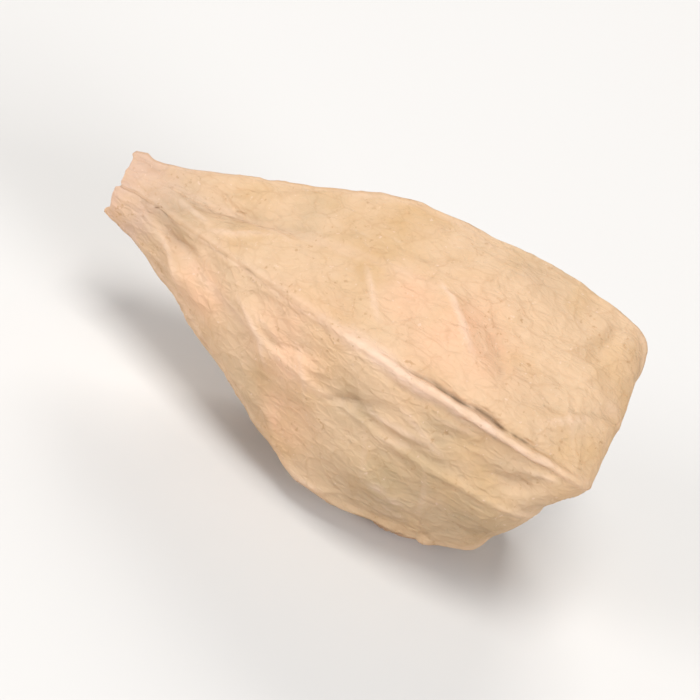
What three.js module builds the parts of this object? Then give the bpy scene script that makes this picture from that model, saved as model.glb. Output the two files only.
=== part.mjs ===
// A physalis as picked: a round orange berry on its cut stalk, shut inside a dry, papery husk.
// The husk lies on its side, and rests on a small flat spot where its belly is pressed.
// Millimetres, +Z up, +X towards the stalk. The origin is the middle of the flat spot.
import * as THREE from "three";
import { mergeVertices } from "three/addons/utils/BufferGeometryUtils.js";

const { degToRad, lerp, smoothstep } = THREE.MathUtils;

// Driving sizes. The husk's length runs along its axis, from its rearmost shoulder to its longest tooth.
const HUSK_LENGTH = 48;
const HUSK_RADIUS = 14.3;
const WALL = 0.7;

// How the husk lies: its mouth is raised, and its belly is pressed flat against the surface.
const MOUTH_RAISED = degToRad(2);
const AXIS_HEIGHT = 11.85;
const PRESS_BLEND = 0.3;
const SPOT_ALONG_AXIS = 16.04;
const SPOT_ASIDE = -0.4;

// The ribs in the plane through the axis: [share of the length, share of the radius] from stalk to mouth.
// Each starts in the dimple round the stalk, turns over the shoulder and tapers to the mouth.
const MAIN_RIB = [
  [0.076, 0.132],
  [0.048, 0.25],
  [0.016, 0.48],
  [0.0, 0.74],
  [0.026, 0.905],
  [0.1, 0.965],
  [0.2, 0.992],
  [0.32, 1.0],
  [0.45, 0.95],
  [0.58, 0.81],
  [0.71, 0.61],
  [0.82, 0.415],
  [0.92, 0.255],
  [1.0, 0.195],
];
const SIDE_RIB = [
  [0.076, 0.132],
  [0.06, 0.24],
  [0.04, 0.44],
  [0.036, 0.65],
  [0.062, 0.79],
  [0.12, 0.85],
  [0.21, 0.875],
  [0.32, 0.88],
  [0.44, 0.835],
  [0.56, 0.725],
  [0.68, 0.555],
  [0.79, 0.355],
  [0.88, 0.205],
  [0.962, 0.13],
];

// The ten ribs in turn round the axis. Angles are from the front (-Y) over the top.
// reach scales a rib's radius, setback draws its shoulder forward and tooth its end, both in mm.
// open spreads its end, and bulge is how far the panel after it swells out (or sinks in), in mm.
// stoop narrows a rib's shoulder by that share.
const RIBS = [
  { name: "front", angle: 28.5, main: true, reach: 1.0, setback: 0, tooth: 0, open: 0.1, bulge: 0.5 },
  { name: "front_top", angle: 63, main: false, reach: 1.0, setback: -1.3, tooth: 1.6, open: 0, bulge: 0.5 },
  { name: "top", angle: 99, main: true, reach: 1.02, setback: 1.3, tooth: 1.0, open: 0.3, bulge: -0.2 },
  { name: "top_back", angle: 134, main: false, reach: 1.02, setback: 1.4, tooth: 1.1, open: 0, bulge: 0.4 },
  { name: "back", angle: 173, main: true, reach: 0.99, setback: 2.2, tooth: -0.3, open: 0.1, bulge: -0.3 },
  { name: "back_low", angle: 209, main: false, reach: 1.01, setback: 2.4, tooth: 1.2, open: 0, bulge: 0.3 },
  { name: "low", angle: 244, main: true, reach: 0.95, setback: 3.2, tooth: -1.1, open: 0, bulge: 0.2 },
  { name: "belly", angle: 280, main: false, reach: 1.02, setback: 3.6, tooth: 0.8, open: 0, bulge: 0.3 },
  { name: "low_front", angle: 317, main: true, reach: 0.99, setback: 4.6, tooth: 0.5, open: 0.3, bulge: 0.5, stoop: 0.16 },
  { name: "front_low", angle: 363, main: false, reach: 1.04, setback: 0.7, tooth: 1.2, open: 0, bulge: 0.1 },
];

// Spans of a rib over which something sets in or fades: 0 is at the stalk and 1 at the mouth.
const RIB_LEAVES_STALK = [0.05, 0.25];
const SHOULDER_ENDS = [0.3, 0.62];
const TOOTH_GROWS = [0.7, 1];
const TOOTH_OPENS = [0.84, 1];
const SKIN_SLACKENS = [0.12, 0.35];
const SKIN_TIGHTENS = [0.82, 1];
const RIBS_CLOSE_IN = [0.55, 0.9];
const VEINS_END = [0.76, 0.86];
const PLEAT_RISES = [0.26, 0.38];
const PLEAT_ENDS = [0.54, 0.68];
const FOLDS_DEEPEN = [0.75, 1];

// A panel runs from one rib to the next.
const PANEL = [0, 1];

// Raised relief, in mm: the crest of each rib, the pleat on the front rib, and the veins between.
const CREST = 0.36;
const CREST_SIDE = 0.24;
const PLEAT = 0.6;
const PLEAT_GROOVE = 0.5;
const VEIN = 0.26;
const VEIN_EVERY = 5;
const VEIN_THINS = 0.08;
const LOW_CREST = 0.1;
const FOLD_DEPTH = 1.5;

// Long soft creases of the dry skin: [height in mm, waves round, waves along, phase].
const CREASES = [
  [0.22, 3, 1.5, 0.4],
  [0.16, 7, 2.5, 2.1],
  [0.13, 11, -3.5, 4.0],
  [0.1, 4, 6.0, 1.2],
];

const ROWS = 40;
const INNER_ROWS = 15;
const PANEL_COLUMNS = [0, 0.055, 0.14, 0.36, 0.62, 0.84, 0.945];

const BERRY_RADIUS = 8.7;
const BERRY_CENTRE = 14.6;
const BERRY_DIMPLE = 0.8;
const DIMPLE_RADIUS = 2.8;
const BERRY_SCAR = 0.25;
const SCAR_RADIUS = 0.9;
const BERRY_ROWS = 22;
const BERRY_SIDES = 40;

// The stalk's rings from its cut end in: [along the axis, radius, aside], in mm.
const STALK = [
  [0.5, 0.85, -0.35],
  [0.65, 1.02, -0.33],
  [1.2, 1.0, -0.22],
  [1.9, 1.06, -0.08],
  [2.6, 1.3],
  [3.15, 1.5],
  [4.55, 1.5],
  [4.85, 2.15],
  [5.1, 2.3],
  [5.8, 2.25],
  [6.1, 1.9],
];
const STALK_SIDES = 20;

const mainLine = ribLine(MAIN_RIB);
const sideLine = ribLine(SIDE_RIB);

function ribLine(shares) {
  return new THREE.SplineCurve(
    shares.map(([along, out]) => new THREE.Vector2(along * HUSK_LENGTH, out * HUSK_RADIUS)),
  );
}

function over(t, [start, end]) {
  return smoothstep(t, start, end);
}

// A point of one rib: t is 0 at the stalk and 1 at the mouth.
function ribPoint(rib, t) {
  const on = (rib.main ? mainLine : sideLine).getPoint(t);
  const rise = over(t, RIB_LEAVES_STALK);
  const shoulder = rise * (1 - over(t, SHOULDER_ENDS));
  const along = on.x + rib.setback * shoulder + rib.tooth * over(t, TOOTH_GROWS);
  const width = lerp(1, rib.reach, rise) * (1 - (rib.stoop ?? 0) * shoulder);
  const out = on.y * width + rib.open * over(t, TOOTH_OPENS);
  const angle = degToRad(rib.angle);
  return new THREE.Vector3(out * Math.cos(angle), out * Math.sin(angle), along);
}

// Creases and bulges show in the free skin, and fade at the stalk and the mouth.
function freeSkin(t) {
  return over(t, SKIN_SLACKENS) * (1 - over(t, SKIN_TIGHTENS));
}

// The skin is stretched between ribs, so a panel is a ruled sheet, swollen and creased a little.
// Its rings round off at the ribs, so that the teeth end in lobes.
function skinPoint(t, panel, f) {
  const from = RIBS[panel];
  const start = ribPoint(from, t);
  const end = ribPoint(RIBS[(panel + 1) % RIBS.length], t);
  const point = start.clone().lerp(end, f);
  point.z = lerp(start.z, end.z, over(f, PANEL));
  const around = Math.atan2(point.y, point.x);
  let out = from.bulge * 4 * f * (1 - f);
  for (const [height, waves, along, phase] of CREASES) {
    out += height * Math.sin(waves * around + along * 2 * Math.PI * t + phase);
  }
  const free = freeSkin(t);
  point.x += out * free * Math.cos(around);
  point.y += out * free * Math.sin(around);
  return point;
}

// The belly gives way where it meets the surface, with a short smooth turn into the flat spot.
function pressed(point) {
  const down = new THREE.Vector3(0, Math.cos(MOUTH_RAISED), Math.sin(MOUTH_RAISED));
  const height = AXIS_HEIGHT + point.dot(down);
  if (height >= PRESS_BLEND) return point;
  const kept = height <= -PRESS_BLEND ? 0 : (height + PRESS_BLEND) ** 2 / (4 * PRESS_BLEND);
  return point.addScaledVector(down, kept - height);
}

function pressedSkin(t, panel, f) {
  return pressed(skinPoint(t, panel, f));
}

// The way out of the skin at a point, in the plane through the axis, so that folds don't close up.
function wayOut(sheet, t, panel, f) {
  const step = 0.004;
  const here = sheet(t, panel, f);
  const along = sheet(Math.min(t + step, 1), panel, f).sub(sheet(Math.max(t - step, 0), panel, f));
  const across = new THREE.Vector3(-here.y, here.x, 0).normalize();
  return across.cross(along).normalize();
}

// Relief on the outside of the skin, in mm. A crest is lower where the ribs run close together.
function relief(t, panel, f) {
  const crest = crestOf(RIBS[panel]) * narrow(f) + crestOf(RIBS[(panel + 1) % RIBS.length]) * narrow(1 - f);
  const height = crest * lerp(1, LOW_CREST, over(t, RIBS_CLOSE_IN));
  return over(t, SKIN_SLACKENS) * Math.max(height, vein(t, panel, f)) + pleat(t, panel, f);
}

function crestOf(rib) {
  return rib.main ? CREST : CREST_SIDE;
}

// A sharp crest, as wide as the first column on each side of a rib.
function narrow(f) {
  return Math.max(0, 1 - f / PANEL_COLUMNS[1]);
}

// Side veins run from each main rib, slanting towards the mouth, from one row of points to the next.
function vein(t, panel, f) {
  const column = PANEL_COLUMNS.indexOf(f);
  const from = RIBS[panel].main ? column : PANEL_COLUMNS.length - column;
  const row = t * ROWS - from + 2 * panel + 3 * VEIN_EVERY;
  const off = Math.abs((row % VEIN_EVERY) - VEIN_EVERY / 2);
  const ridge = Math.max(0, 1 - (VEIN_EVERY / 2 - off));
  return VEIN * ridge * (1 - VEIN_THINS * from) * (1 - over(t, VEINS_END));
}

// The front rib is pinched into a raised pleat from mid-length to the shoulder, with a groove above it.
function pleat(t, panel, f) {
  const reach = over(t, PLEAT_RISES) * (1 - over(t, PLEAT_ENDS));
  if (panel === 0) return reach * (PLEAT * narrow(f) - (f === PANEL_COLUMNS[2] ? PLEAT_GROOVE : 0));
  if (panel === RIBS.length - 1) return reach * PLEAT * narrow(1 - f);
  return 0;
}

// One ring of the husk's outside, with its relief.
function outerRing(t) {
  return ringOf((panel, f) => {
    const out = wayOut(skinPoint, t, panel, f);
    return pressed(skinPoint(t, panel, f).addScaledVector(out, relief(t, panel, f)));
  });
}

// One ring of the husk's inside, a wall's thickness in: deeper under a groove and in the folds at the mouth.
function innerRing(t) {
  return ringOf((panel, f) => {
    const depth = WALL * lerp(1, FOLD_DEPTH, over(t, FOLDS_DEEPEN)) - Math.min(0, pleat(t, panel, f));
    return pressedSkin(t, panel, f).addScaledVector(wayOut(pressedSkin, t, panel, f), -depth);
  });
}

function ringOf(pointAt) {
  return RIBS.flatMap((_, panel) => PANEL_COLUMNS.map((f) => pointAt(panel, f)));
}

// A round ring across the axis, for the berry and the stalk.
function roundRing([along, radius, aside = 0], sides) {
  return Array.from({ length: sides }, (_, i) => {
    const angle = (i / sides) * 2 * Math.PI;
    return new THREE.Vector3(radius * Math.cos(angle), radius * Math.sin(angle) + aside, along);
  });
}

// Joins rings of equal count, in turn. Each four-cornered patch is split so that a ridge stays sharp.
function skinOver(rings) {
  const triangles = [];
  rings.slice(1).forEach((ring, k) => {
    rings[k].forEach((a, i) => {
      const next = (i + 1) % ring.length;
      const [b, c, d] = [rings[k][next], ring[next], ring[i]];
      const split = middleRadius(a, c) > middleRadius(b, d) ? [a, b, c, a, c, d] : [a, b, d, b, c, d];
      triangles.push(...split);
    });
  });
  return triangles;
}

function middleRadius(a, b) {
  return Math.hypot(a.x + b.x, a.y + b.y) / 2;
}

// Closes a ring with a fan to its middle. An end cap is wound the other way from a start cap.
function cap(triangles, ring, middle, isEnd) {
  ring.forEach((a, i) => {
    const b = ring[(i + 1) % ring.length];
    triangles.push(...(isEnd ? [a, b, middle] : [b, a, middle]));
  });
}

function solid(triangles) {
  const positions = triangles.flatMap((p) => [p.x, p.y, p.z]);
  const geometry = new THREE.BufferGeometry();
  geometry.setAttribute("position", new THREE.Float32BufferAttribute(positions, 3));
  const merged = mergeVertices(geometry, 1e-4);
  merged.computeVertexNormals();
  return merged;
}

// The husk: an outer and an inner skin, joined round the stalk's hole and along the toothed mouth.
function huskGeometry() {
  const outer = Array.from({ length: ROWS + 1 }, (_, i) => outerRing(i / ROWS));
  const inner = Array.from({ length: INNER_ROWS + 1 }, (_, i) => innerRing(i / INNER_ROWS));
  return solid(skinOver([...outer, ...inner.reverse(), outer[0]]));
}

// The berry: a ball with a dimple for the receptacle and a faint flat scar at its far end.
function berryGeometry() {
  const rings = [];
  for (let k = 1; k < BERRY_ROWS; k++) {
    const angle = (k / BERRY_ROWS) * Math.PI;
    const radius = BERRY_RADIUS * Math.sin(angle);
    const dimple = BERRY_DIMPLE * Math.exp(-((radius / DIMPLE_RADIUS) ** 2));
    const scar = BERRY_SCAR * Math.exp(-((radius / SCAR_RADIUS) ** 2));
    const inward = angle < Math.PI / 2 ? dimple : -scar;
    rings.push(roundRing([BERRY_CENTRE - BERRY_RADIUS * Math.cos(angle) + inward, radius], BERRY_SIDES));
  }
  const triangles = skinOver(rings);
  cap(triangles, rings[0], new THREE.Vector3(0, 0, BERRY_CENTRE - BERRY_RADIUS + BERRY_DIMPLE), false);
  cap(triangles, rings.at(-1), new THREE.Vector3(0, 0, BERRY_CENTRE + BERRY_RADIUS - BERRY_SCAR), true);
  return solid(triangles);
}

// The stalk: cut across at its outer end, it swells to the receptacle that holds husk and berry.
function stalkGeometry() {
  const rings = STALK.map((ring) => roundRing(ring, STALK_SIDES));
  const triangles = skinOver(rings);
  const middle = (at) => new THREE.Vector3(0, STALK.at(at)[2] ?? 0, STALK.at(at)[0]);
  cap(triangles, rings[0], middle(0), false);
  cap(triangles, rings.at(-1), middle(-1), true);
  return solid(triangles);
}

function part(name, geometry, color, roughness) {
  const mesh = new THREE.Mesh(geometry, new THREE.MeshStandardMaterial({ color, roughness, metalness: 0 }));
  mesh.name = name;
  return mesh;
}

const lying = new THREE.Group();
const front = new THREE.Vector3(0, -1, 0);
const up = new THREE.Vector3(Math.sin(MOUTH_RAISED), 0, Math.cos(MOUTH_RAISED));
const axis = new THREE.Vector3(-Math.cos(MOUTH_RAISED), 0, Math.sin(MOUTH_RAISED));
lying.setRotationFromMatrix(new THREE.Matrix4().makeBasis(front, up, axis));
lying.position.set(SPOT_ALONG_AXIS, SPOT_ASIDE, AXIS_HEIGHT);
lying.add(
  part("husk", huskGeometry(), 0xdcb884, 0.82),
  part("berry", berryGeometry(), 0xe8820f, 0.35),
  part("stem", stalkGeometry(), 0x9c8350, 0.85),
);

const physalis = new THREE.Group();
physalis.add(lying);

export default physalis;
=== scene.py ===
import math
import random

import bpy
import numpy as np
from mathutils import Matrix, Quaternion, Vector, noise


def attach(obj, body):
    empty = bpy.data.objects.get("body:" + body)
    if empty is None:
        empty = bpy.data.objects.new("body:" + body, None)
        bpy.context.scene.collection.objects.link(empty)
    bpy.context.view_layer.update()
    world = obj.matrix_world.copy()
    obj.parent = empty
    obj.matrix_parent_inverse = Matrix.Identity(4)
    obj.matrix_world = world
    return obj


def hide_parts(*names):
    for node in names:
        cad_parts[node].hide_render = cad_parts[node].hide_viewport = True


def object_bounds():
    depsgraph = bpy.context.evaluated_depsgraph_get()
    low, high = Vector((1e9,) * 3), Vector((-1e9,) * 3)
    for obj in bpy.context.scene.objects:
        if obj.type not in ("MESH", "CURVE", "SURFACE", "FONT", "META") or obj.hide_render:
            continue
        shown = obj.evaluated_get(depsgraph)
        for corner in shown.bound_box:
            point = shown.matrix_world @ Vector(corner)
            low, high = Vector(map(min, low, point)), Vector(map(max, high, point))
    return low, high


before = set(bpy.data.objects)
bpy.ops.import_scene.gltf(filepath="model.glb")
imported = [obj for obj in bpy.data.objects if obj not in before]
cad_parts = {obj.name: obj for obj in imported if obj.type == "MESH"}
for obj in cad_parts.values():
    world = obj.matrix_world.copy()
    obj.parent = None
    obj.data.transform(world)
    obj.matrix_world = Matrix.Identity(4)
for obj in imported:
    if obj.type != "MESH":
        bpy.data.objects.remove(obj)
cad_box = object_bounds()


# The camera: a long lens looks down on the husk's near side, square to its length.
# It is rolled, so that the husk lies aslant in the picture with its mouth up to the left.
LENS = 135
CAMERA_AZIMUTH = math.radians(5)
CAMERA_ELEVATION = math.radians(32)
CAMERA_ROLL = math.radians(28)
CAMERA_DISTANCE = 0.232
LOOK_ASIDE = Vector((0.0006, 0.0, -0.0032))
NEAREST_SEEN = 0.01

middle = (cad_box[0] + cad_box[1]) / 2 + LOOK_ASIDE
towards_camera = Vector(
    (
        math.sin(CAMERA_AZIMUTH) * math.cos(CAMERA_ELEVATION),
        -math.cos(CAMERA_AZIMUTH) * math.cos(CAMERA_ELEVATION),
        math.sin(CAMERA_ELEVATION),
    )
)
aim = (-towards_camera).to_track_quat("-Z", "Y") @ Quaternion((0, 0, 1), CAMERA_ROLL)
bpy.ops.object.camera_add(location=middle + towards_camera * CAMERA_DISTANCE, rotation=aim.to_euler())
camera = bpy.context.object
camera.name = "camera"
camera.data.lens = LENS
camera.data.clip_start = NEAREST_SEEN
bpy.context.scene.camera = camera
bpy.context.scene.view_settings.view_transform = "Standard"


# The floor: a plain pale sheet, large enough to have no edge in the picture.
# Its paint is matt and even.
FLOOR_SIZE = 8
FLOOR_COLOUR = (0.57, 0.565, 0.555, 1)
FLOOR_ROUGHNESS = 0.8
FLOOR_GLOSS = 0.2


def principled(name):
    """A new material, with its node tree and its surface shader."""
    material = bpy.data.materials.new(name)
    material.use_nodes = True
    tree = material.node_tree
    return material, tree, tree.nodes["Principled BSDF"]


bpy.ops.mesh.primitive_plane_add(size=FLOOR_SIZE)
floor = bpy.context.object
floor.name = "floor"
floor_paint, _, floor_shader = principled("floor_paint")
floor_shader.inputs["Base Color"].default_value = FLOOR_COLOUR
floor_shader.inputs["Roughness"].default_value = FLOOR_ROUGHNESS
floor_shader.inputs["Specular IOR Level"].default_value = FLOOR_GLOSS
floor.data.materials.append(floor_paint)


# The lights: a large soft box overhead, weaker ones low at the front left and at the right, and one
# behind that shines through the thin husk. An even pale room fills the shadows.
# Each has its name, place, size across, power in watts and tint.
LIGHTS = [
    ("key", (-0.10, -0.45, 1.50), 0.70, 17.5, (1.0, 0.98, 0.95)),
    ("fill", (-1.5, -1.0, 0.42), 0.8, 31, (0.98, 0.98, 1.0)),
    ("side", (1.4, -0.9, 0.7), 0.8, 26, (0.98, 0.98, 1.0)),
    ("behind", (-0.4, 1.3, 0.9), 0.7, 16, (1.0, 0.96, 0.92)),
]
ROOM_COLOUR = (0.95, 0.96, 1.0, 1)
ROOM_STRENGTH = 0.25

for light_name, place, size, watts, tint in LIGHTS:
    facing = (middle - Vector(place)).to_track_quat("-Z", "Y")
    bpy.ops.object.light_add(type="AREA", location=place, rotation=facing.to_euler())
    light = bpy.context.object
    light.name = light_name
    light.data.size = size
    light.data.energy = watts
    light.data.color = tint

room = bpy.data.worlds.new("room")
room.use_nodes = True
room.node_tree.nodes["Background"].inputs["Color"].default_value = ROOM_COLOUR
room.node_tree.nodes["Background"].inputs["Strength"].default_value = ROOM_STRENGTH
bpy.context.scene.world = room


# The husk: the dried calyx, a thin papery bag with five main ribs and five side ribs.
# It grew as one sheet round the berry, from the stalk to a small toothed mouth.
# It is made as a flat sheet that is rolled round the axis, laid on its belly, and given its thickness.
MM = 0.001
HUSK_LENGTH = 48
HUSK_RADIUS = 14.3
MOUTH_RAISED = math.radians(2)
AXIS_HEIGHT = 11.85
PRESS_BLEND = 0.3
SPOT_ALONG_AXIS = 16.04
SPOT_ASIDE = -0.4
PAPER = 0.22

# Ribs in the plane through the axis: share of the length, share of the radius.
MAIN_RIB = [
    (0.076, 0.132),
    (0.048, 0.25),
    (0.016, 0.48),
    (0.0, 0.74),
    (0.026, 0.905),
    (0.1, 0.965),
    (0.2, 0.992),
    (0.32, 1.0),
    (0.45, 0.95),
    (0.58, 0.81),
    (0.71, 0.61),
    (0.82, 0.415),
    (0.92, 0.255),
    (1.0, 0.195),
]
SIDE_RIB = [
    (0.076, 0.132),
    (0.06, 0.24),
    (0.04, 0.44),
    (0.036, 0.65),
    (0.062, 0.79),
    (0.12, 0.85),
    (0.21, 0.875),
    (0.32, 0.88),
    (0.44, 0.835),
    (0.56, 0.725),
    (0.68, 0.555),
    (0.79, 0.355),
    (0.88, 0.205),
    (0.962, 0.13),
]

# The ten ribs round the axis: angle from the front over the top, main or side, reach, stoop of the shoulder,
# setback, tooth, open, and the bulge of the panel after it.
RIBS = [
    (28.5, True, 1.0, 0, 0, 0, 0.1, 0.5),
    (63, False, 1.0, 0, -1.3, 1.6, 0, 0.5),
    (99, True, 1.02, 0, 1.3, 1.0, 0.3, -0.2),
    (134, False, 1.02, 0, 1.4, 1.1, 0, 0.4),
    (173, True, 0.99, 0, 2.2, -0.3, 0.1, -0.3),
    (209, False, 1.01, 0, 2.4, 1.2, 0, 0.3),
    (244, True, 0.95, 0, 3.2, -1.1, 0, 0.2),
    (280, False, 1.02, 0, 3.6, 0.8, 0, 0.3),
    (317, True, 0.99, 0.16, 4.6, 0.5, 0.3, 0.5),
    (363, False, 1.04, 0, 0.7, 1.2, 0, 0.1),
]
# Long soft creases: height, waves round the axis, waves along it, and phase.
CREASES = [(0.22, 3, 1.5, 0.4), (0.16, 7, 2.5, 2.1), (0.13, 11, -3.5, 4.0), (0.1, 4, 6.0, 1.2)]

# Spans of a rib over which something sets in or fades: 0 is at the stalk and 1 at the mouth.
RIB_LEAVES_STALK = (0.05, 0.25)
SHOULDER_ENDS = (0.3, 0.62)
TOOTH_GROWS = (0.7, 1)
TOOTH_OPENS = (0.84, 1)
SKIN_SLACKENS = (0.12, 0.35)
SKIN_TIGHTENS = (0.82, 1)
RIBS_CLOSE_IN = (0.55, 0.8)
VEINS_END = (0.76, 0.9)
NECK = (0, 0.05)
LOBES = (0.86, 1)
RAGGED_EDGE = (0.93, 1)
BLEACHED_FROM = (0.82, 1)

SHEET_ROWS = 210
PANEL_SHEET_COLUMNS = 23
GATHERED_AT_RIBS = 0.08
MERGED_WITHIN = 0.002


def over(t, span):
    """Smooth step from 0 to 1 over a span."""
    x = np.clip((t - span[0]) / (span[1] - span[0]), 0, 1)
    return x * x * (3 - 2 * x)


def hump(off, width):
    """1 on a line or a spot, falling off smoothly away from it."""
    return np.exp(-((off / width) ** 2))


def on_line(shares, t):
    """Points of a smooth line through its control points, in mm, along and out from the axis."""
    points = np.array(shares) * (HUSK_LENGTH, HUSK_RADIUS)
    last = len(points) - 1
    at = t * last
    k = np.minimum(np.floor(at).astype(int), last)
    w = (at - k)[:, None]
    before = points[np.maximum(k - 1, 0)]
    start = points[k]
    end = points[np.minimum(k + 1, last)]
    after = points[np.minimum(k + 2, last)]
    slope_in = (end - before) / 2
    slope_out = (after - start) / 2
    cubic = 2 * start - 2 * end + slope_in + slope_out
    square = 3 * end - 3 * start - 2 * slope_in - slope_out
    return cubic * w**3 + square * w**2 + slope_in * w + start


def rib_points(rib, t):
    """Points of one rib, as front, up and along the axis, in mm."""
    angle, main, reach, stoop, setback, tooth, spread, _ = rib
    on = on_line(MAIN_RIB if main else SIDE_RIB, t)
    rise = over(t, RIB_LEAVES_STALK)
    shoulder = rise * (1 - over(t, SHOULDER_ENDS))
    along = on[:, 0] + setback * shoulder + tooth * over(t, TOOTH_GROWS)
    width = (1 + (reach - 1) * rise) * (1 - stoop * shoulder)
    out = on[:, 1] * width + spread * over(t, TOOTH_OPENS)
    turn = math.radians(angle)
    return np.stack([out * math.cos(turn), out * math.sin(turn), along], axis=1)


def skin_points(t, panel, f):
    """The smooth skin between the ribs: swollen and creased a little, where it hangs free."""
    points = np.zeros((len(t), 3))
    for k, rib in enumerate(RIBS):
        here = panel == k
        share = f[here][:, None]
        start = rib_points(rib, t[here])
        end = rib_points(RIBS[(k + 1) % len(RIBS)], t[here])
        flat = start * (1 - share) + end * share
        lobe = over(f[here], (0, 1))
        flat[:, 2] = start[:, 2] * (1 - lobe) + end[:, 2] * lobe
        around = np.arctan2(flat[:, 1], flat[:, 0])
        out = rib[-1] * 4 * f[here] * (1 - f[here])
        for height, waves, along, phase in CREASES:
            out += height * np.sin(waves * around + along * 2 * math.pi * t[here] + phase)
        out *= over(t[here], SKIN_SLACKENS) * (1 - over(t[here], SKIN_TIGHTENS))
        flat[:, 0] += out * np.cos(around)
        flat[:, 1] += out * np.sin(around)
        points[here] = flat
    return points


def pressed(points):
    """The belly gives way to the surface, with a short smooth turn into the flat spot."""
    down = np.array([0, math.cos(MOUTH_RAISED), math.sin(MOUTH_RAISED)])
    height = AXIS_HEIGHT + points @ down
    eased = np.clip(height + PRESS_BLEND, 0, None) ** 2 / (4 * PRESS_BLEND)
    kept = np.where(height >= PRESS_BLEND, height, eased)
    return points + (kept - height)[:, None] * down


def read_values(mesh, name):
    """A number for each point of a mesh."""
    values = np.empty(len(mesh.vertices), dtype=np.float32)
    mesh.attributes[name].data.foreach_get("value", values)
    return values.astype(float)


def write_values(mesh, name, values):
    """Keeps a number for each point, for the shape or for the material."""
    attribute = mesh.attributes.get(name) or mesh.attributes.new(name, "FLOAT", "POINT")
    attribute.data.foreach_set("value", np.ascontiguousarray(values, dtype=np.float32))


def read_points(mesh):
    """The places of a mesh's points."""
    points = np.empty(len(mesh.vertices) * 3, dtype=np.float32)
    mesh.vertices.foreach_get("co", points)
    return points.reshape(-1, 3).astype(float)


def write_points(mesh, points):
    """Moves a mesh's points."""
    mesh.vertices.foreach_set("co", np.ascontiguousarray(points, dtype=np.float32).ravel())
    mesh.update()


def crumple(points, size, octaves, seed):
    """Soft random heights, for dents and waves of about the given size."""
    scaled = points / size + seed
    return np.array([noise.fractal(Vector(p), 1.0, 2.0, octaves) for p in scaled])


def strayed(points, size, reach, seed):
    """The points, pushed about a little, so that a pattern drawn on them has no straight lines."""
    scaled = points / size + seed
    return points + reach * np.array([noise.noise_vector(Vector(p)) for p in scaled])


def edge_of_cells(points, size, stretch, seed):
    """0 on the borders of a net of cells, rising inside them. Cells are longer along the axis."""
    scaled = points / (size, size, size * stretch) + seed
    distances = [noise.voronoi(Vector(p))[0] for p in scaled]
    return np.array([d[1] - d[0] for d in distances])


def beside_line(points, line):
    """How far each point is from a bent line, and at which share of the line."""
    nearest = np.full(len(points), np.inf)
    where = np.zeros(len(points))
    for k in range(len(line) - 1):
        step = line[k + 1] - line[k]
        part = np.clip((points - line[k]) @ step / (step @ step), 0, 1)
        off = np.linalg.norm(points - line[k] - part[:, None] * step, axis=1)
        nearer = off < nearest
        nearest[nearer] = off[nearer]
        where[nearer] = (k + part[nearer]) / (len(line) - 1)
    return nearest, where


def skin_line(start, end):
    """A line on the smooth skin. Its ends are given as share of the length, and ribs round."""
    steps = np.linspace(0, 1, 6)
    station = start[0] + (end[0] - start[0]) * steps
    round_ribs = np.mod(start[1] + (end[1] - start[1]) * steps, len(RIBS))
    panel = np.floor(round_ribs).astype(int)
    return skin_points(station, panel, round_ribs - panel)


bpy.ops.object.select_all(action="DESELECT")
columns = PANEL_SHEET_COLUMNS * len(RIBS)
bpy.ops.mesh.primitive_grid_add(x_subdivisions=columns, y_subdivisions=SHEET_ROWS, size=1)
husk = bpy.context.object
husk.name = "husk_paper"
sheet = husk.data

flat_sheet = read_points(sheet)
column = np.rint((flat_sheet[:, 0] + 0.5) * columns).astype(int)
station = np.rint((flat_sheet[:, 1] + 0.5) * SHEET_ROWS) / SHEET_ROWS
panel = np.minimum(column // PANEL_SHEET_COLUMNS, len(RIBS) - 1)
even = (column - panel * PANEL_SHEET_COLUMNS) / PANEL_SHEET_COLUMNS
# Columns stand closer beside the ribs, where the skin turns.
share = even - GATHERED_AT_RIBS * np.sin(2 * math.pi * even)
write_values(sheet, "station", station)
write_values(sheet, "panel", panel)
write_values(sheet, "share", share)
write_points(sheet, skin_points(station, panel, share))

bpy.ops.object.mode_set(mode="EDIT")
bpy.ops.mesh.select_all(action="SELECT")
bpy.ops.mesh.remove_doubles(threshold=MERGED_WITHIN)
bpy.ops.mesh.normals_make_consistent(inside=False)
bpy.ops.object.mode_set(mode="OBJECT")

points = read_points(sheet)
station = read_values(sheet, "station")
panel = np.rint(read_values(sheet, "panel")).astype(int)
share = read_values(sheet, "share")
way_out = np.empty(len(points) * 3, dtype=np.float32)
sheet.vertices.foreach_get("normal", way_out)
way_out = way_out.reshape(-1, 3).astype(float)
is_main = np.array([rib[1] for rib in RIBS])[panel]
panel_width = np.hypot(points[:, 0], points[:, 1]) * math.tau / len(RIBS)
from_rib = np.minimum(share, 1 - share) * panel_width
on_main = np.where(share < 0.5, is_main, ~is_main)
free = over(station, SKIN_SLACKENS) * (1 - over(station, SKIN_TIGHTENS))

# Ribs: thin cords that draw the skin up, lower where they run close together.
CORD_WIDTH = 0.4
DRAWN_UP_WIDTH = 1.3
MAIN_CORD, MAIN_DRAWN_UP = 0.2, 0.16
SIDE_CORD, SIDE_DRAWN_UP = 0.18, 0.1
LOST_AT_MOUTH = 0.85
cord = hump(from_rib, CORD_WIDTH)
drawn_up = np.exp(-from_rib / DRAWN_UP_WIDTH)
main_height = MAIN_CORD * cord + MAIN_DRAWN_UP * drawn_up
side_height = SIDE_CORD * cord + SIDE_DRAWN_UP * drawn_up
rib_height = np.where(on_main, main_height, side_height) * (1 - LOST_AT_MOUTH * over(station, RIBS_CLOSE_IN))

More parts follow.
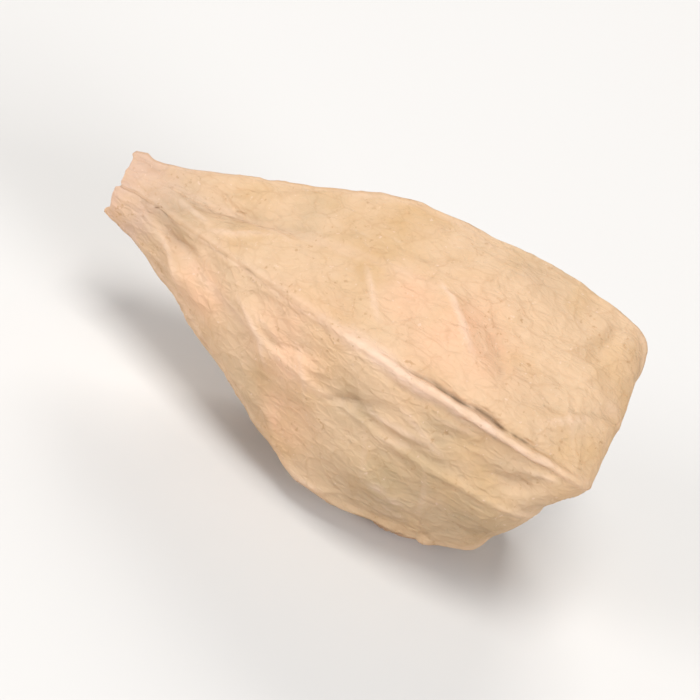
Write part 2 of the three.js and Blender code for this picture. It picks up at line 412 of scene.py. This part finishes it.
# Side veins leave the main ribs and bend towards the mouth. They stand in even rows along the husk.
VEIN_COLUMNS = [0, 0.055, 0.14, 0.36, 0.62, 0.84, 0.945, 1]
VEIN_ROWS = 40
VEIN_EVERY = 5
VEIN_ROW_LENGTH = 1.5
VEIN_WANDERS = 1.5
VEIN_WIDTH = 0.34
VEIN_THINS = 0.07
away = np.interp(share, VEIN_COLUMNS, range(len(VEIN_COLUMNS)))
from_main = np.where(is_main, away, len(VEIN_COLUMNS) - 1 - away)
vein_row = station * VEIN_ROWS - from_main + 2 * panel + VEIN_WANDERS * crumple(points, 6.0, 3, 3.1)
vein_off = np.abs((vein_row + VEIN_EVERY / 2) % VEIN_EVERY - VEIN_EVERY / 2) * VEIN_ROW_LENGTH
side_vein = hump(vein_off, VEIN_WIDTH) * (1 - VEIN_THINS * from_main) * (1 - over(station, VEINS_END))

# The net between them, in coarse and fine cells with bent borders, and the crumpled paper.
# Sizes are in mm, and a border's width is a share of its cell. The straying is given a seed,
# because Blender draws it from the clock otherwise, and each run would bend the borders anew.
STRAY_SEED = 1
COARSE_CELL = 3.3
FINE_CELL = 1.5
COARSE_BORDER = 0.16
FINE_BORDER = 0.24
LONG_CRUMPLE = 4.2
SHORT_CRUMPLE = 1.5
LONGER_ALONG_AXIS = (1, 1, 1.8)
noise.seed_set(STRAY_SEED)
coarse_net = hump(edge_of_cells(strayed(points, 3.2, 1.3, 1.7), COARSE_CELL, 1.5, 11.3), COARSE_BORDER)
fine_net = hump(edge_of_cells(strayed(points, 1.5, 0.6, 6.1), FINE_CELL, 1.3, 5.7), FINE_BORDER)
long_crumple = crumple(points / LONGER_ALONG_AXIS, LONG_CRUMPLE, 3, 7.9)
short_crumple = crumple(points, SHORT_CRUMPLE, 3, 2.3)

# Folds and creases of the dry skin: from one place to another, as (share of the length, ribs round),
# with the width and height of the fold in mm. A crease has a height below 0.
FOLDS = [
    ((0.46, 0.4), (0.26, 1.05), 1.3, -0.45),
    ((0.53, 1.15), (0.465, 0.32), 1.5, -0.4),
    ((0.6, 1.15), (0.515, 0.5), 2.4, 0.5),
    ((0.68, 0.95), (0.62, 0.3), 1.8, 0.35),
    ((0.7, 0.6), (0.64, 0.1), 1.3, -0.35),
    ((0.42, 0.3), (0.34, 0.75), 1.6, 0.3),
    ((0.4, 1.2), (0.36, 1.9), 1.8, -0.4),
    ((0.64, 8.9), (0.575, 9.35), 1.2, -0.5),
    ((0.6, 9.2), (0.5, 9.3), 1.6, 0.35),
    ((0.45, 9.35), (0.33, 9.5), 1.4, -0.35),
    ((0.56, 8.6), (0.46, 8.4), 2.0, 0.4),
    ((0.78, 9.4), (0.7, 8.7), 1.5, 0.35),
    ((0.95, 9.2), (0.83, 8.5), 0.9, 0.35),
    ((0.93, 8.9), (0.84, 9.4), 0.8, -0.35),
    ((0.93, 0.8), (0.84, 0.4), 0.9, 0.4),
    ((0.88, 1.4), (0.79, 0.9), 1.1, -0.35),
    ((0.85, 0.2), (0.77, 0.8), 1.1, 0.35),
]
LOOSE_FOLDS = 130
FOLD_FADES = 0.7
CREST_HIGHLIGHT_WIDTH = 0.3
CREST_HIGHLIGHT_FULL_HEIGHT = 0.4
chance = random.Random(5)
for _ in range(LOOSE_FOLDS):
    start = (chance.uniform(0.3, 0.92), chance.uniform(0, 10))
    end = (start[0] + chance.uniform(0.03, 0.11), start[1] + chance.uniform(-0.8, 0.8))
    FOLDS.append((start, end, chance.uniform(0.7, 2.0), chance.choice((-1, 1)) * chance.uniform(0.08, 0.3)))

folds = np.zeros(len(points))
# The crests of the raised folds are marked for a pale painted highlight.
crest_highlight = np.zeros(len(points))
for start, end, width, height in FOLDS:
    off, where = beside_line(points, skin_line(start, end))
    fades = np.sin(math.pi * where) ** FOLD_FADES
    folds += height * fades * np.clip(1 - off / width, 0, 1) ** 2
    if height > 0:
        crest_highlight = np.maximum(crest_highlight, height / CREST_HIGHLIGHT_FULL_HEIGHT * fades * hump(off, CREST_HIGHLIGHT_WIDTH))

# The pleat that is pinched up along the front rib, with a broken crevice above it and a crease below.
# It is wider and flatter towards the mouth. Its pale paint, partly the skin's own tone and partly a painted
# highlight on the raised pleat, reaches past both of its ends.
PLEAT_RISES = (0.26, 0.46)
PLEAT_ENDS = (0.52, 0.68)
PALE_ENDS = (0.58, 0.74)
PLEAT_WIDENS = (0.38, 0.6)
PLEAT_WANDERS = 0.35
PLEAT_ABOVE = 0.34
PLEAT_BELOW = (0.42, 0.6)
PALE_WIDTH = (0.42, 0.75)
PALE_CENTRE = -0.2
CREVICE_OPENS = (0.33, 0.42)
CREVICE_CLOSES = (0.53, 0.6)
CREVICE_CENTRE = 0.7
CREVICE_WIDTH = 0.24
CREASE_CENTRE = (-0.85, -0.75)
CREASE_WIDTH = 0.3

pleat_reach = over(station, PLEAT_RISES) * (1 - over(station, PLEAT_ENDS))
beside_front = np.where(panel == 0, share, np.where(panel == len(RIBS) - 1, share - 1, 1)) * panel_width
beside_front = beside_front + PLEAT_WANDERS * crumple(points, 3.5, 2, 6.6)
wider = over(station, PLEAT_WIDENS)
pleat_width = np.where(beside_front > 0, PLEAT_ABOVE, PLEAT_BELOW[0] + PLEAT_BELOW[1] * wider)
pleat = pleat_reach * hump(beside_front, pleat_width)
uneven_height = (1 - 0.3 * wider) * np.clip(0.8 + 0.5 * crumple(points, 2.2, 2, 2.9), 0.4, 1.2)
broken = over(station, CREVICE_OPENS) * (1 - over(station, CREVICE_CLOSES))
broken = 0.3 + 0.7 * broken * np.clip(0.9 + 0.9 * crumple(points, 1.3, 3, 4.4), 0.3, 1)
crevice = pleat_reach * broken * hump(beside_front - CREVICE_CENTRE, CREVICE_WIDTH)
# The pale band along the pleat is partly its own tone and partly a painted highlight on the raised fold.
pale_and_highlight = over(station, PLEAT_RISES) * (1 - over(station, PALE_ENDS))
pale_and_highlight *= hump(beside_front - PALE_CENTRE, PALE_WIDTH[0] + PALE_WIDTH[1] * wider)
crease = pleat_reach * hump(beside_front - CREASE_CENTRE[0] - CREASE_CENTRE[1] * wider, CREASE_WIDTH)

# How high each of these stands, in mm.
VEIN_HEIGHT = 0.2
FOLD_HEIGHT = 1.3
COARSE_NET_HEIGHT = 0.06
FINE_NET_HEIGHT = 0.02
LONG_CRUMPLE_HEIGHT = 0.25
SHORT_CRUMPLE_HEIGHT = 0.08
PLEAT_HEIGHT = 0.38
CREVICE_DEPTH = 0.65
CREASE_DEPTH = 0.17

relief = over(station, SKIN_SLACKENS) * np.maximum(rib_height, VEIN_HEIGHT * side_vein)
relief += free * (FOLD_HEIGHT * folds + COARSE_NET_HEIGHT * coarse_net + FINE_NET_HEIGHT * fine_net)
relief += free * (LONG_CRUMPLE_HEIGHT * long_crumple + SHORT_CRUMPLE_HEIGHT * short_crumple)
relief += PLEAT_HEIGHT * pleat * uneven_height
relief -= CREVICE_DEPTH * crevice + CREASE_DEPTH * crease
points += relief[:, None] * way_out

# Blotches: peach where the skin dried in the sun, and olive where it stayed green longer. The peach ones on
# the front facets are partly painted light, and the olive ones below the front rib are painted shade.
# Each is (share of the length, ribs round), and its radius in mm.
PEACH_AND_LIGHT_BLOTCHES = [
    ((0.54, 0.65), 4.5),
    ((0.61, 0.76), 2.5),
    ((0.7, 9.3), 4),
    ((0.66, 8.4), 3),
    ((0.82, 8.84), 3),
    ((0.45, 3.4), 5),
    ((0.65, 5.2), 4),
    ((0.45, 7.2), 5),
]
# The first five lie below the front rib and are painted shade. The others are the skin's own olive tone.
OLIVE_AND_SHADE_BLOTCHES = [
    ((0.6, 9.1), 2.4),
    ((0.5, 9.5), 2.2),
    ((0.515, 8.5), 5),
    ((0.385, 8.6), 5),
    ((0.49, 8.9), 3.5),
    ((0.9, 0.2), 3),
    ((0.5, 2.4), 4),
    ((0.6, 4.3), 5),
    ((0.4, 5.6), 4),
    ((0.7, 6.5), 4),
]


def blotches(points, spots):
    """1 at the middle of each spot, fading out round it."""
    shade = np.zeros(len(points))
    for spot, radius in spots:
        off = np.linalg.norm(points - skin_line(spot, spot)[0], axis=1)
        shade = np.maximum(shade, hump(off, radius))
    return shade


# Kept for the material: the peach blotches are partly painted light, and the olive ones partly painted
# shade.
write_values(sheet, "peach_and_light", blotches(points, PEACH_AND_LIGHT_BLOTCHES))
write_values(sheet, "olive_and_shade", blotches(points, OLIVE_AND_SHADE_BLOTCHES))
write_values(sheet, "bleached", over(station, BLEACHED_FROM))

# The neck is drawn in tight round the stalk. Near the mouth the folds between the teeth open out,
# so that each tooth ends in a flat, ragged lobe. Sizes are in mm.
NECK_DRAWN_IN = 0.19
FOLDS_OPEN = 0.45
FOLDS_FILL = 0.5
TOOTH_BLUNTED = 0.4
TOOTH_TIP = 0.25
MOUTH_BENDS = 0.45
EDGE_RAGGED = 0.5
at_mouth = over(station, LOBES)
at_edge = over(station, RAGGED_EDGE)
from_tooth = np.where(is_main, share, 1 - share)
drawn_in = 1 - NECK_DRAWN_IN * (1 - over(station, NECK))
drawn_in += at_mouth * FOLDS_OPEN * over(from_tooth, (0, 1))
points[:, 2] += at_mouth * FOLDS_FILL * over(from_tooth, (0.1, 1))
points[:, 2] -= TOOTH_BLUNTED * at_edge * hump(from_tooth, TOOTH_TIP)
points[:, 0] *= drawn_in
points[:, 1] *= drawn_in
points[:, 0] += MOUTH_BENDS * crumple(points, 2.6, 2, 4.1) * at_mouth
points[:, 1] += MOUTH_BENDS * crumple(points, 2.6, 2, 8.8) * at_mouth
points[:, 2] += EDGE_RAGGED * crumple(points, 1.5, 2, 9.4) * at_edge

# How strongly each line is tinted. The pleat covers the tint of its rib.
RIB_TINT_WIDTH = 0.6
SIDE_RIB_TINT = 0.75
NET_TINT = 0.45
CREASE_SHADE = 0.35
rib_tint = hump(from_rib, RIB_TINT_WIDTH) * np.where(on_main, 1, SIDE_RIB_TINT)
write_values(sheet, "rib", rib_tint * (1 - pleat_reach))
write_values(sheet, "vein", np.maximum(side_vein, NET_TINT * coarse_net * free))
# Painted highlight along the crests of the raised folds.
write_values(sheet, "crest_highlight", crest_highlight * free)
write_values(sheet, "pale_and_highlight", pale_and_highlight)
# The crevice above the pleat and the crease below it are painted dark: painted shade in the grooves.
write_values(sheet, "crevice", crevice + CREASE_SHADE * crease * wider)
write_points(sheet, pressed(points) * MM)


def lay_down(mesh):
    """From the axis's own frame (front, up, along) to where the fruit lies."""
    front = Vector((0, -1, 0))
    up = Vector((math.sin(MOUTH_RAISED), 0, math.cos(MOUTH_RAISED)))
    along = Vector((-math.cos(MOUTH_RAISED), 0, math.sin(MOUTH_RAISED)))
    place = Vector((SPOT_ALONG_AXIS, SPOT_ASIDE, AXIS_HEIGHT)) * MM
    mesh.transform(Matrix.Translation(place) @ Matrix((front, up, along)).transposed().to_4x4())
    mesh.update()


lay_down(sheet)
bpy.ops.object.shade_smooth()
thickness = husk.modifiers.new("paper", "SOLIDIFY")
thickness.thickness = PAPER * MM
thickness.offset = -1
thickness.use_even_offset = False
bpy.ops.object.modifier_apply(modifier="paper")


def blended(tree, amount, first, second):
    """Blends two colours. Each may be a socket or a fixed colour, and the amount a socket or a number."""
    node = tree.nodes.new("ShaderNodeMix")
    node.data_type = "RGBA"
    for socket, value in zip((node.inputs[0], node.inputs[6], node.inputs[7]), (amount, first, second)):
        if isinstance(value, bpy.types.NodeSocket):
            tree.links.new(value, socket)
        else:
            socket.default_value = value
    return node.outputs[2]


def ranged(tree, value, low, high, to_low=0.0, to_high=1.0):
    """Stretches a value from one range to another, and clamps it."""
    node = tree.nodes.new("ShaderNodeMapRange")
    tree.links.new(value, node.inputs["Value"])
    for name, number in zip(("From Min", "From Max", "To Min", "To Max"), (low, high, to_low, to_high)):
        node.inputs[name].default_value = number
    return node.outputs["Result"]


def mottle(tree, place, cell_mm, detail=3.0):
    """Soft random patches of about the given size."""
    node = tree.nodes.new("ShaderNodeTexNoise")
    tree.links.new(place, node.inputs["Vector"])
    node.inputs["Scale"].default_value = 1 / (cell_mm * MM)
    node.inputs["Detail"].default_value = detail
    return node.outputs["Fac"]


def value_of(tree, name):
    """A number that the mesh keeps for each of its points."""
    node = tree.nodes.new("ShaderNodeAttribute")
    node.attribute_name = name
    return node.outputs["Fac"]


def times(tree, first, second):
    """One value, as strong as another lets it be."""
    node = tree.nodes.new("ShaderNodeMath")
    node.operation = "MULTIPLY"
    tree.links.new(first, node.inputs[0])
    tree.links.new(second, node.inputs[1])
    return node.outputs["Value"]


def mapped(tree, place, scale=(1, 1, 1), shift=(0, 0, 0)):
    """The place of a pattern, stretched or shifted. A pattern is drawn out where the scale is below 1."""
    node = tree.nodes.new("ShaderNodeMapping")
    node.inputs["Scale"].default_value = scale
    node.inputs["Location"].default_value = shift
    tree.links.new(place, node.inputs["Vector"])
    return node.outputs["Vector"]


def net(tree, place, mesh_mm):
    """Distance from the nearest thread of a net with meshes of about the given size."""
    node = tree.nodes.new("ShaderNodeTexVoronoi")
    node.feature = "DISTANCE_TO_EDGE"
    node.inputs["Scale"].default_value = 1 / (mesh_mm * MM)
    tree.links.new(place, node.inputs["Vector"])
    return node.outputs["Distance"]


def embossed(tree, height, strength, depth_mm, under=None):
    """Fine relief in the surface, on top of the relief under it."""
    node = tree.nodes.new("ShaderNodeBump")
    node.inputs["Strength"].default_value = strength
    node.inputs["Distance"].default_value = depth_mm * MM
    tree.links.new(height, node.inputs["Height"])
    if under is not None:
        tree.links.new(under, node.inputs["Normal"])
    return node.outputs["Normal"]


PEACH_AND_LIGHT_TONE = (0.85, 0.58, 0.38, 1)
STRAW = (0.75, 0.57, 0.37, 1)
GOLD = (0.66, 0.46, 0.23, 1)
OLIVE_AND_SHADE_TONE = (0.49, 0.40, 0.25, 1)
VEIN_BROWN = (0.40, 0.23, 0.10, 1)
BLEACHED = (0.62, 0.46, 0.37, 1)
PALE_AND_HIGHLIGHT = (0.92, 0.74, 0.60, 1)
CREVICE_SHADE = (0.13, 0.075, 0.035, 1)
GLOW = (0.80, 0.50, 0.22, 1)
HUSK_GLOSS = 0.35
LIGHT_THROUGH = 0.42

paper, tree, shader = principled("dried_husk")
place = tree.nodes.new("ShaderNodeTexCoord").outputs["Object"]
lengthwise = mapped(tree, place, scale=(0.6, 1, 1))

# Patches of straw and gold, with the peach and olive blotches on them. On the front facets the blotches are
# partly painted light and painted shade.
colour = blended(tree, ranged(tree, mottle(tree, place, 6), 0.45, 0.72, 0, 0.75), STRAW, GOLD)
uneven = ranged(tree, mottle(tree, place, 2.5), 0.3, 0.6, 0.45, 1)
colour = blended(tree, times(tree, value_of(tree, "peach_and_light"), uneven), colour, PEACH_AND_LIGHT_TONE)
colour = blended(tree, ranged(tree, mottle(tree, lengthwise, 6), 0.58, 0.75, 0, 0.5), colour, OLIVE_AND_SHADE_TONE)
olive_and_shade = times(tree, value_of(tree, "olive_and_shade"), uneven)
colour = blended(tree, ranged(tree, olive_and_shade, 0, 1, 0, 0.7), colour, OLIVE_AND_SHADE_TONE)

# The thin skin at the mouth has bleached to a pinkish grey.
patchy = ranged(tree, mottle(tree, place, 2), 0.35, 0.6, 0.4, 0.8)
colour = blended(tree, times(tree, value_of(tree, "bleached"), patchy), colour, BLEACHED)

# A net of threads, bent a little by noise and faint in places, in large meshes and small ones.
THREAD_BEND_SIZE = 1.4
THREAD_BEND = 1.0
LARGE_MESH = 1.9
SMALL_MESH = 0.75
bend = tree.nodes.new("ShaderNodeTexNoise")
bend.inputs["Scale"].default_value = 1 / (THREAD_BEND_SIZE * MM)
bend.inputs["Detail"].default_value = 2
tree.links.new(lengthwise, bend.inputs["Vector"])
bending = tree.nodes.new("ShaderNodeVectorMath")
bending.operation = "MULTIPLY_ADD"
bending.inputs[1].default_value = (THREAD_BEND * MM, THREAD_BEND * MM, THREAD_BEND * MM)
tree.links.new(bend.outputs["Color"], bending.inputs[0])
tree.links.new(lengthwise, bending.inputs[2])
bent = bending.outputs["Vector"]

large_net = net(tree, bent, LARGE_MESH)
small_net = net(tree, bent, SMALL_MESH)
faint = ranged(tree, mottle(tree, place, 2.5, 2), 0.38, 0.62, 0.3, 1)
thread = times(tree, ranged(tree, large_net, 0.0, 0.055, 1, 0), faint)
small_thread = times(tree, ranged(tree, small_net, 0.0, 0.09, 1, 0), faint)

# The threads and veins are tinted brown. The crests of the raised folds get a pale painted highlight, the
# pleat is pale, partly in its own tone and partly as painted highlight, and the crevice and the crease below
# the pleat get dark painted shade.
vein = ranged(tree, value_of(tree, "vein"), 0.25, 1)
rib = value_of(tree, "rib")
pale_and_highlight = times(tree, value_of(tree, "pale_and_highlight"), ranged(tree, mottle(tree, place, 1.6), 0.35, 0.6, 0.5, 1))
colour = blended(tree, ranged(tree, small_thread, 0, 1, 0, 0.09), colour, VEIN_BROWN)
colour = blended(tree, ranged(tree, thread, 0, 1, 0, 0.2), colour, VEIN_BROWN)
colour = blended(tree, ranged(tree, vein, 0, 1, 0, 0.2), colour, VEIN_BROWN)
colour = blended(tree, ranged(tree, value_of(tree, "crest_highlight"), 0.1, 0.9, 0, 0.4), colour, PALE_AND_HIGHLIGHT)
colour = blended(tree, ranged(tree, rib, 0.15, 0.6, 0, 0.15), colour, PALE_AND_HIGHLIGHT)
colour = blended(tree, ranged(tree, rib, 0.8, 1, 0, 0.28), colour, VEIN_BROWN)
colour = blended(tree, ranged(tree, pale_and_highlight, 0.05, 0.85, 0, 0.7), colour, PALE_AND_HIGHLIGHT)
colour = blended(tree, ranged(tree, value_of(tree, "crevice"), 0.22, 0.9, 0, 0.7), colour, CREVICE_SHADE)

# Brown freckles in loose groups, and a few pale ones.
FRECKLE = 0.45
PALE_FRECKLE = 0.4
grouped = ranged(tree, mottle(tree, place, 3.5, 1), 0.42, 0.62)
freckle = times(tree, ranged(tree, mottle(tree, place, FRECKLE, 2), 0.63, 0.72, 0, 0.5), grouped)
elsewhere = mapped(tree, place, shift=(0.013, 0.007, 0.021))
pale_freckle = ranged(tree, mottle(tree, elsewhere, PALE_FRECKLE, 2), 0.69, 0.74, 0, 0.45)
colour = blended(tree, freckle, colour, VEIN_BROWN)
colour = blended(tree, pale_freckle, colour, PALE_AND_HIGHLIGHT)
tree.links.new(colour, shader.inputs["Base Color"])
tree.links.new(ranged(tree, mottle(tree, place, 2.5), 0.3, 0.7, 0.48, 0.7), shader.inputs["Roughness"])
shader.inputs["Specular IOR Level"].default_value = HUSK_GLOSS

# The skin is drawn tight over the threads and puffed between them, and finely wrinkled lengthwise.
drawn_out = mapped(tree, bent, scale=(0.4, 1, 1))
quilting = embossed(tree, ranged(tree, large_net, 0.0, 0.22, 1, 0), 0.5, 0.12)
fibres = embossed(tree, ranged(tree, small_net, 0.0, 0.25, 1, 0), 0.6, 0.06, quilting)
wrinkles = embossed(tree, mottle(tree, drawn_out, 0.6, 4), 0.7, 0.15, fibres)
tree.links.new(wrinkles, shader.inputs["Normal"])

# Light shines through the thin skin and comes out warmer.
through = tree.nodes.new("ShaderNodeBsdfTranslucent")
tree.links.new(blended(tree, 0.7, colour, GLOW), through.inputs["Color"])
tree.links.new(wrinkles, through.inputs["Normal"])
both = tree.nodes.new("ShaderNodeMixShader")
both.inputs["Fac"].default_value = LIGHT_THROUGH
tree.links.new(shader.outputs["BSDF"], both.inputs[1])
tree.links.new(through.outputs["BSDF"], both.inputs[2])
tree.links.new(both.outputs["Shader"], tree.nodes["Material Output"].inputs["Surface"])
sheet.materials.append(paper)

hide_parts("husk")
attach(husk, "root")


# The berry: a round fruit with a tight, glossy skin. It has a dimple where it sits on the stalk, and a
# small dry scar opposite. It is made as a ball, with the dimple and the scar pressed in at its two ends.
BERRY_RADIUS = 8.7
BERRY_CENTRE = 14.6
DIMPLE = 0.8
DIMPLE_RADIUS = 2.8
SCAR = 0.25
SCAR_RADIUS = 0.9

bpy.ops.object.select_all(action="DESELECT")
bpy.ops.mesh.primitive_uv_sphere_add(segments=72, ring_count=48, radius=BERRY_RADIUS)
berry = bpy.context.object
berry.name = "berry_skin"
ball = read_points(berry.data)
from_axis = np.hypot(ball[:, 0], ball[:, 1])
at_stalk = ball[:, 2] < 0
scar = np.where(at_stalk, 0, hump(from_axis, SCAR_RADIUS))
ball[:, 2] += BERRY_CENTRE
ball[:, 2] += np.where(at_stalk, DIMPLE * hump(from_axis, DIMPLE_RADIUS), 0)
ball[:, 2] -= SCAR * scar
write_values(berry.data, "scar", scar)
write_points(berry.data, ball * MM)
lay_down(berry.data)
bpy.ops.object.shade_smooth()

ORANGE = (0.86, 0.25, 0.012, 1)
DEEP_ORANGE = (0.70, 0.15, 0.008, 1)
SCAR_BROWN = (0.16, 0.07, 0.02, 1)
FLESH_GLOW = 0.25
FLESH_DEPTH = (0.002, 0.0007, 0.0002)

berry_skin, tree, shader = principled("berry_skin")
place = tree.nodes.new("ShaderNodeTexCoord").outputs["Object"]
colour = blended(tree, ranged(tree, mottle(tree, place, 5), 0.35, 0.7), ORANGE, DEEP_ORANGE)
colour = blended(tree, ranged(tree, value_of(tree, "scar"), 0.25, 0.8), colour, SCAR_BROWN)
tree.links.new(colour, shader.inputs["Base Color"])
tree.links.new(ranged(tree, mottle(tree, place, 1.2), 0.3, 0.7, 0.16, 0.3), shader.inputs["Roughness"])
tree.links.new(embossed(tree, mottle(tree, place, 0.35, 2), 0.15, 0.05), shader.inputs["Normal"])
shader.inputs["Subsurface Weight"].default_value = FLESH_GLOW
shader.inputs["Subsurface Radius"].default_value = FLESH_DEPTH
berry.data.materials.append(berry_skin)

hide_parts("berry")
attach(berry, "root")


# The stem: a short woody stalk, cut across, that swells to the receptacle inside the husk's neck.
# It is drawn out ring by ring from its cut end, and its bark is lightly ribbed along its length.
# Each ring is given by how far along the axis it is, its radius, and how far it is bent aside.
STALK = [
    (0.5, 0.85, -0.35),
    (0.65, 1.02, -0.33),
    (1.2, 1.0, -0.22),
    (1.9, 1.06, -0.08),
    (2.6, 1.3, 0),
    (3.15, 1.5, 0),
    (4.55, 1.5, 0),
    (4.85, 2.15, 0),
    (5.1, 2.3, 0),
    (5.8, 2.25, 0),
    (6.1, 1.9, 0),
]
STALK_SIDES = 32
STALK_RIBS = 8
RIBS_TWIST = 0.8
RIB_DEPTH = 0.05
BARK_UNEVEN = 0.03
BARK_BEGINS = (0.55, 1.0)
BARK_ENDS = (3.1, 4.6)
OUT_FROM_AXIS = (0.3, 0.8)
CUT_ENDS = 0.95
CUT_FADES = (0.1, 0.35)
CUT_ROUGH = 0.06
PITH_RADIUS = 0.22
FURROW_SHADE = 12

bpy.ops.object.select_all(action="DESELECT")
cut_along, cut_radius, cut_aside = STALK[0]
bpy.ops.mesh.primitive_circle_add(
    vertices=STALK_SIDES, radius=cut_radius, fill_type="TRIFAN", location=(0, cut_aside, cut_along)
)
stem = bpy.context.object
stem.name = "stem_wood"
bpy.ops.object.transform_apply(location=True, rotation=True, scale=True)
bpy.ops.object.mode_set(mode="EDIT")
bpy.ops.mesh.select_all(action="SELECT")
for (along, radius, aside), (next_along, next_radius, next_aside) in zip(STALK, STALK[1:]):
    step = (0, next_aside - aside, next_along - along)
    grow = next_radius / radius
    bpy.ops.mesh.extrude_region_move(TRANSFORM_OT_translate={"value": step})
    bpy.ops.transform.resize(value=(grow, grow, 1), center_override=(0, next_aside, next_along))
bpy.ops.mesh.select_all(action="SELECT")
bpy.ops.mesh.normals_make_consistent(inside=False)
bpy.ops.mesh.subdivide(number_cuts=3)
bpy.ops.object.mode_set(mode="OBJECT")
bark = read_points(stem.data)
round_stalk = np.arctan2(bark[:, 1], bark[:, 0])
on_bark = over(bark[:, 2], BARK_BEGINS) * (1 - over(bark[:, 2], BARK_ENDS))
on_bark *= over(np.hypot(bark[:, 0], bark[:, 1]), OUT_FROM_AXIS)
furrow = RIB_DEPTH * np.cos(STALK_RIBS * round_stalk + RIBS_TWIST * bark[:, 2])
furrow += BARK_UNEVEN * crumple(bark, 0.6, 2, 5.5)
bark[:, :2] *= (1 + furrow * on_bark)[:, None]
in_the_wood = over(CUT_ENDS - bark[:, 2], CUT_FADES)
bark[:, 2] += CUT_ROUGH * crumple(bark, 0.5, 2, 7.1) * in_the_wood
from_pith = np.hypot(bark[:, 0], bark[:, 1] - cut_aside)
write_values(stem.data, "cut", in_the_wood)
write_values(stem.data, "pith", in_the_wood * hump(from_pith, PITH_RADIUS))
# The furrows of the bark are marked for painted shade: the deeper, the darker.
write_values(stem.data, "furrow", -furrow * on_bark * FURROW_SHADE)
write_points(stem.data, bark)
stem.data.transform(Matrix.Scale(MM, 4))
lay_down(stem.data)
bpy.ops.object.shade_smooth()

BARK = (0.33, 0.22, 0.10, 1)
BARK_GREEN = (0.30, 0.26, 0.11, 1)
BARK_DARK = (0.13, 0.08, 0.04, 1)
CUT_WOOD = (0.46, 0.35, 0.20, 1)
BARK_ROUGHNESS = 0.8

stalk_wood, tree, shader = principled("stalk_wood")
place = tree.nodes.new("ShaderNodeTexCoord").outputs["Object"]
colour = blended(tree, ranged(tree, mottle(tree, place, 1.5), 0.35, 0.65), BARK, BARK_GREEN)
colour = blended(tree, ranged(tree, mottle(tree, place, 0.35, 3), 0.55, 0.7, 0, 0.6), colour, BARK_DARK)
# Painted shade in the bark's furrows.
colour = blended(tree, ranged(tree, value_of(tree, "furrow"), 0.1, 0.8, 0, 0.6), colour, BARK_DARK)
cut_face = ranged(tree, mottle(tree, place, 0.3, 2), 0.4, 0.7, 1, 0.55)
cut_face = times(tree, ranged(tree, value_of(tree, "cut"), 0.5, 0.95), cut_face)
colour = blended(tree, cut_face, colour, CUT_WOOD)
colour = blended(tree, ranged(tree, value_of(tree, "pith"), 0.2, 0.8, 0, 0.7), colour, BARK_DARK)
tree.links.new(colour, shader.inputs["Base Color"])
shader.inputs["Roughness"].default_value = BARK_ROUGHNESS
tree.links.new(embossed(tree, mottle(tree, place, 0.25, 3), 0.6, 0.08), shader.inputs["Normal"])
stem.data.materials.append(stalk_wood)

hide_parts("stem")
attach(stem, "root")
